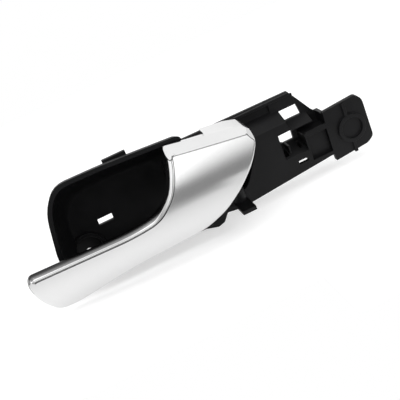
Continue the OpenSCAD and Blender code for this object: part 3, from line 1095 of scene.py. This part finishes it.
    def block(self, name: str, section: Sequence[Flat], ends: Flat, sink: float, edge: float) -> Workpiece:
        """Makes a straight block that is cut off along both bevels.

        Args:
            name: Name of the piece.
            section: Its corners in X and Z, in millimetres from the hinge's axis and from the origin.
            ends: Where it starts and ends along Y.
            sink: How far under the bevels it is cut.
            edge: Width of the rounding on its edges.

        Returns:
            The block.
        """
        rings = [[Vector((self.hinge_x + x, y, z)) for x, z in section] for y in ends]
        piece = Workpiece.skin(name, rings)
        for point, normal in self.bevel_planes(sink):
            piece.cut(point, normal)
        piece.soften_edges(edge)
        piece.smooth(self.block_angle)
        return piece

    def head_bar(self) -> Workpiece:
        """Returns the thick upper edge of the head, behind the bevel."""
        section = (
            (-28.6, self.head_top - 0.25), (12.0, 35.3), (13.3, 34.2), (15.2, 32.0),
            (14.9, 28.4), (9.0, 28.6), (-30.2, 34.6),
        )
        return self.block("head_bar", section, ends=(-18.5, -9.5), sink=0.06, edge=0.3)

    def top_wall(self) -> Workpiece:
        """Returns the thin wall that runs back from the head's upper edge."""
        section = (
            (-6.5, 39.1), (6.8, 37.2), (13.4, 35.2), (15.7, 32.8),
            (13.9, 32.0), (12.4, 33.3), (6.4, 35.0), (-6.5, 36.9),
        )
        return self.block("top_wall", section, ends=(-17.5, -3.0), sink=0.03, edge=0.25)

    def build(self) -> list[Workpiece]:
        """Builds and dresses the lever's pieces.

        Returns:
            The pieces.
        """
        shell = self.shell()
        silver = SatinSilver(
            "satin_silver",
            Slot.LEVER_SILVER,
            centre=(0.0, self.face_y, self.face_z),
            radius=self.face_radius,
            painted_bead_end=self.hinge_x - self.painted_bead_start,
            # Planes of the bevels, along whose groove a shade is painted.
            groove_shade_planes=self.bevel_planes(0.0),
        )
        shell.dress(silver.build(), silver.slot, Body.LEVER, ["lever_shell"])
        back = Workpiece.copy_of("lever_black_frame", "lever_frame")
        back.smooth(self.frame_angle)
        black = MouldedPlastic("frame_plastic", Slot.FRAME_BLACK, gloss_low=0.5, gloss_high=0.6, grain=0.25)
        back.dress(black.build(), black.slot, Body.LEVER, ["lever_frame"])
        return [shell, back]


@dataclass
class Carrier:
    """The black carrier moulding, with the width and the smallest angle of its rounded edges."""

    edge: float = 0.16
    angle: float = 50.0

    def build(self) -> list[Workpiece]:
        """Builds and dresses the carrier.

        Returns:
            The pieces.
        """
        body = Workpiece.copy_of("carrier_moulding", "carrier")
        body.join([Workpiece.copy_of("pocket", "screw_pocket")])
        body.soften_edges(self.edge, segments=1, angle=self.angle, clamp=False)
        body.smooth(self.angle)
        body.weigh_normals()
        black = MouldedPlastic("carrier_plastic", Slot.CARRIER_BLACK)
        body.dress(black.build(), black.slot, Body.CARRIER, ["carrier", "screw_pocket"])
        return [body]


@dataclass
class HingeParts:
    """Pin, return spring and the two rubber buffers, with the hinge's axis and where the coil lies on it."""

    axis: Flat = (HINGE_X, -4.0)
    coil: Flat = (11.4, 18.6)
    turned_angle: float = 35.0
    wire_angle: float = 60.0

    def build(self) -> list[Workpiece]:
        """Builds and dresses the small parts.

        Returns:
            The pieces.
        """
        made = []
        pin = DrawnSteel("pin_steel", Slot.PIN_STEEL)
        spring = DrawnSteel("spring_steel", Slot.SPRING_STEEL, colour=(0.42, 0.42, 0.44), gloss=0.34)
        rubber = SoftRubber("buffer_rubber", Slot.BUFFER_RUBBER)
        steel, wire, soft = pin.build(), spring.build(), rubber.build()
        for name, node, finish, slot in (
            ("steel_pin", "hinge_pin", steel, pin.slot),
            ("rest_button", "rest_buffer", soft, rubber.slot),
            ("stop_sleeve", "stop_buffer", soft, rubber.slot),
        ):
            piece = Workpiece.copy_of(name, node)
            piece.smooth(self.turned_angle)
            piece.dress(finish, slot, Body.CARRIER, [node])
            made.append(piece)
        made.append(self.spring(wire, spring.slot))
        return made

    def spring(self, wire: bpy.types.Material, slot: Slot) -> Workpiece:
        """Makes the return spring, which on the real handle twists about the hinge axis as the lever opens.

        Args:
            wire: Its material.
            slot: Not used.

        Returns:
            The dressed spring.
        """
        piece = Workpiece.copy_of("coil_spring", "return_spring")
        piece.smooth(self.wire_angle)
        piece.obj.data.materials.append(wire)
        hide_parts("return_spring")
        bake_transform(piece.obj)
        return piece


@dataclass
class Studio:
    """Camera, soft light, pale floor and white background. Millimetres, but metres for lamps and sight."""

    MIDDLE: ClassVar[Triple] = (-0.09, 0.0, 0.01)
    LAMPS: ClassVar[tuple[Lamp, ...]] = (
        Lamp("top_soft", (-0.35, -0.16, 0.9), 0.7, 1.9),
        Lamp("front_soft", (-0.31, -0.9, 0.345), 0.74, 1.5),
        Lamp("right_soft", (0.7, -0.5, 0.5), 0.5, 1.4),
    )
    SHEETS: ClassVar[tuple[tuple[str, Flat, Flat], ...]] = (
        ("studio_floor", (-400.0, -88.0), (220.0, 320.0)),
        ("studio_floor_front", (-66.0, -126.0), (220.0, -88.0)),
    )
    # Tones of the room by height, from straight down at 0 to straight up at 1.
    ROOM_BY_HEIGHT: ClassVar[tuple[Flat, ...]] = (
        (0.0, 0.7), (0.27, 0.6), (0.33, 0.28), (0.43, 0.28), (0.47, 0.36),
        (0.51, 0.5), (0.55, 0.74), (0.62, 1.03), (0.7, 1.25), (1.0, 1.22),
    )
    # Tones of a patch high up, by depth, from straight before the object at 0 to straight behind it at 1.
    SHADE_BY_DEPTH: ClassVar[tuple[Flat, ...]] = (
        (0.0, 1.0), (0.655, 1.0), (0.7, 0.3), (0.86, 0.2), (0.92, 1.0), (1.0, 1.0),
    )
    SHADE_ALOFT: ClassVar[Flat] = (0.4, 0.6)

    eye: Triple = (-171.158, -475.378, 236.131)
    right: Triple = (0.8915, -0.31, -0.3303)
    down: Triple = (-0.4291, -0.3447, -0.8349)
    ahead: Triple = (0.145, 0.8861, -0.4403)
    lens: float = 90.0
    sensor: float = 36.0
    sight: float = 20.0
    floor_z: float = -21.0
    floor_tone: float = 0.6
    floor_dullness: float = 0.9
    glow_seen: float = 0.5
    glow_mirrored: Flat = (0.05, 0.4)
    glow_reach: Flat = (-90.0, -25.0)

    def camera(self) -> None:
        """Puts the camera at the photograph's place."""
        data = bpy.data.cameras.new("camera")
        data.lens = self.lens
        data.sensor_width = self.sensor
        data.clip_end = self.sight
        camera = bpy.data.objects.new("camera", data)
        turn = Matrix([(self.right[i], -self.down[i], -self.ahead[i]) for i in range(3)]).normalized()
        camera.matrix_world = Matrix.Translation(Vector(self.eye) * MM) @ turn.to_4x4()
        bpy.context.scene.collection.objects.link(camera)
        bpy.context.scene.camera = camera

    def lamps(self) -> None:
        """Hangs the soft lamps round the object and turns them to its middle."""
        for lamp in self.LAMPS:
            data = bpy.data.lights.new(lamp.name, "AREA")
            data.shape = "SQUARE"
            data.size = lamp.size
            data.energy = lamp.watts
            obj = bpy.data.objects.new(lamp.name, data)
            obj.location = lamp.place
            aim = Vector(self.MIDDLE) - Vector(lamp.place)
            obj.rotation_euler = aim.to_track_quat("-Z", "Y").to_euler()
            bpy.context.scene.collection.objects.link(obj)

    def floor(self) -> None:
        """Lays the pale floor, which keeps the object's shadow. It ends close in front of the lever."""
        material = self.floor_white()
        for name, low, high in self.SHEETS:
            bpy.ops.mesh.primitive_plane_add(size=1.0)
            sheet = bpy.context.active_object
            sheet.name = name
            size = Vector((high[0] - low[0], high[1] - low[1], 1.0))
            middle = Vector(((low[0] + high[0]) / 2, (low[1] + high[1]) / 2, self.floor_z))
            sheet.data.transform(Matrix.Translation(middle * MM) @ Matrix.Diagonal((*(size * MM), 1.0)))
            sheet.data.materials.append(material)

    def floor_white(self) -> bpy.types.Material:
        """Makes the floor's white, which glows a little for the camera and in reflections.

        Returns:
            The new material.
        """
        sheet = NodeSheet("studio_white")
        sheet.shader.inputs["Base Color"].default_value = grey(self.floor_tone)
        sheet.shader.inputs["Roughness"].default_value = self.floor_dullness
        rays = sheet.tree.nodes.new("ShaderNodeLightPath").outputs
        near, far = self.glow_reach
        share = sheet.remap(sheet.axes(sheet.place)["Y"], (near * MM, far * MM), self.glow_mirrored)
        seen = sheet.number("MULTIPLY", rays["Is Camera Ray"], self.glow_seen)
        strength = sheet.number("MULTIPLY_ADD", rays["Is Glossy Ray"], share, seen)
        glow = sheet.tree.nodes.new("ShaderNodeEmission")
        sheet.link(strength, glow.inputs["Strength"])
        both = sheet.tree.nodes.new("ShaderNodeAddShader")
        sheet.link(sheet.shader.outputs[0], both.inputs[0])
        sheet.link(glow.outputs[0], both.inputs[1])
        sheet.link(both.outputs[0], sheet.tree.nodes["Material Output"].inputs["Surface"])
        return sheet.material

    def world(self) -> None:
        """Sets a white background and a plain room: bright above, darker at eye level and behind."""
        world = bpy.data.worlds.new("room")
        bpy.context.scene.world = world
        world.use_nodes = True
        board = NodeBoard(world.node_tree)
        way = board.axes(board.tree.nodes.new("ShaderNodeTexCoord").outputs["Generated"])
        height = board.remap(way["Z"], (-1.0, 1.0))
        depth = board.remap(way["Y"], (-1.0, 1.0))
        room = board.ramp(height, [(position, grey(tone)) for position, tone in self.ROOM_BY_HEIGHT])
        shade = board.ramp(depth, [(position, grey(tone)) for position, tone in self.SHADE_BY_DEPTH])
        shaded = board.mix(board.remap(way["Z"], self.SHADE_ALOFT), room, shade)
        seen = board.tree.nodes.new("ShaderNodeLightPath").outputs["Is Camera Ray"]
        background = board.tree.nodes["Background"]
        board.link(board.mix(seen, shaded, grey(1.0), "MIX"), background.inputs["Color"])
        background.inputs["Strength"].default_value = 1.0

    def build(self) -> None:
        """Sets up everything round the object."""
        self.camera()
        self.lamps()
        self.floor()
        self.world()
        bpy.context.scene.view_settings.view_transform = "Standard"


def corners(box: Plane) -> list[list[float]]:
    """Returns a box as plain lists."""
    return [[float(c) for c in point] for point in box]


def main() -> None:
    """Builds the handle from its sub-assemblies."""
    logging.basicConfig(level=logging.INFO, format="%(name)s: %(message)s")
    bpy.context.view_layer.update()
    Studio().build()
    for assembly in (Carrier(), Lever(), HingeParts()):
        for piece in assembly.build():
            LOG.info("%s: %d faces", piece.obj.name, len(piece.obj.data.polygons))


if __name__ == "__main__":
    main()
